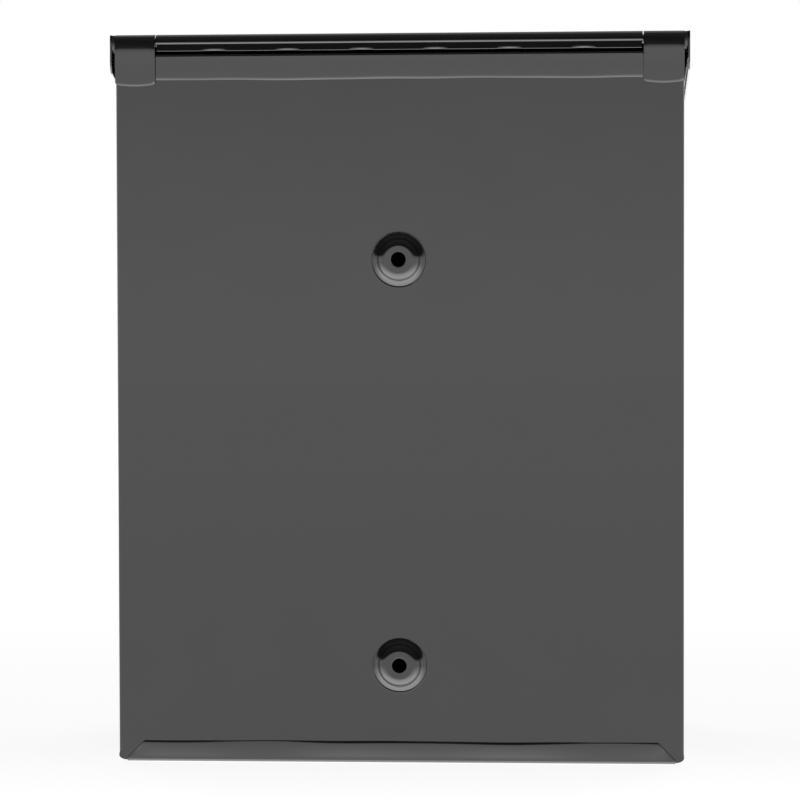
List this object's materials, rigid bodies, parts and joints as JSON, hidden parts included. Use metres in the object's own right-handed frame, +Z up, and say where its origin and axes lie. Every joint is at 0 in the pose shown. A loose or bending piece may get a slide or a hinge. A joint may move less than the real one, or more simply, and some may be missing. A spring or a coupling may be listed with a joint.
{
  "type": "parcel drop box",
  "caption": "Wall-hung sheet-steel parcel drop box with a sloping hinged lid, an anti-reach baffle and a lockable front door.",
  "frame": {"origin": "middle of the overall box's bottom face, on the surface that the floor pan stands on", "axes": "+Z up; +Y towards the wall, out of the back panel; -Y out of the front door; +X to the right as seen from the front"},
  "size_m": [0.3112, 0.169, 0.3925],
  "materials": {
    "black_enamel": "gloss black baked coat on steel sheet",
    "black_rivets": "black coated rivets",
    "zinc_steel": "zinc-plated steel",
    "lock_chrome": "chrome-plated zinc casting",
    "black_nylon": "moulded black nylon",
    "bumper_rubber": "black rubber"
  },
  "bodies": {
    "box": {"rear_shell": "black_enamel", "bottom_pan": "black_enamel", "front_frame": "black_enamel", "baffle": "black_enamel", "baffle_rivets": "black_rivets", "hinge_rod": "black_enamel", "hinge_bush_left": "black_nylon", "hinge_bush_right": "black_nylon", "rod_cap_left": "black_nylon", "rod_cap_right": "black_nylon", "door_hinge_leaf_frame": "black_enamel", "door_hinge_pin": "zinc_steel", "door_hinge_rivets_frame": "black_rivets"},
    "lid": {"lid": "black_enamel", "lid_hinge_barrel": "black_enamel", "lid_bumper_left": "bumper_rubber", "lid_bumper_right": "bumper_rubber"},
    "door": {"door": "black_enamel", "door_hinge_leaf_door": "black_enamel", "door_hinge_rivets_door": "black_rivets", "lock_body": "lock_chrome", "lock_nut": "zinc_steel"},
    "lock": {"lock_plug": "zinc_steel", "lock_cam": "zinc_steel", "lock_cam_screw": "zinc_steel"}
  },
  "joints": [
    {"name": "lid_hinge", "type": "hinge", "parent": "box", "child": "lid", "pos_m": [0, 0.0769, 0.3876], "axis": [-1, 0, 0], "range_deg": [0, 104]},
    {"name": "door_hinge", "type": "hinge", "parent": "box", "child": "door", "pos_m": [-0.1214, -0.081, 0.13], "axis": [0, 0, -1], "range_deg": [0, 115]},
    {"name": "lock_turn", "type": "hinge", "parent": "door", "child": "lock", "pos_m": [0.0968, -0.0785, 0.13], "axis": [0, -1, 0], "range_deg": [0, 90]}
  ]
}
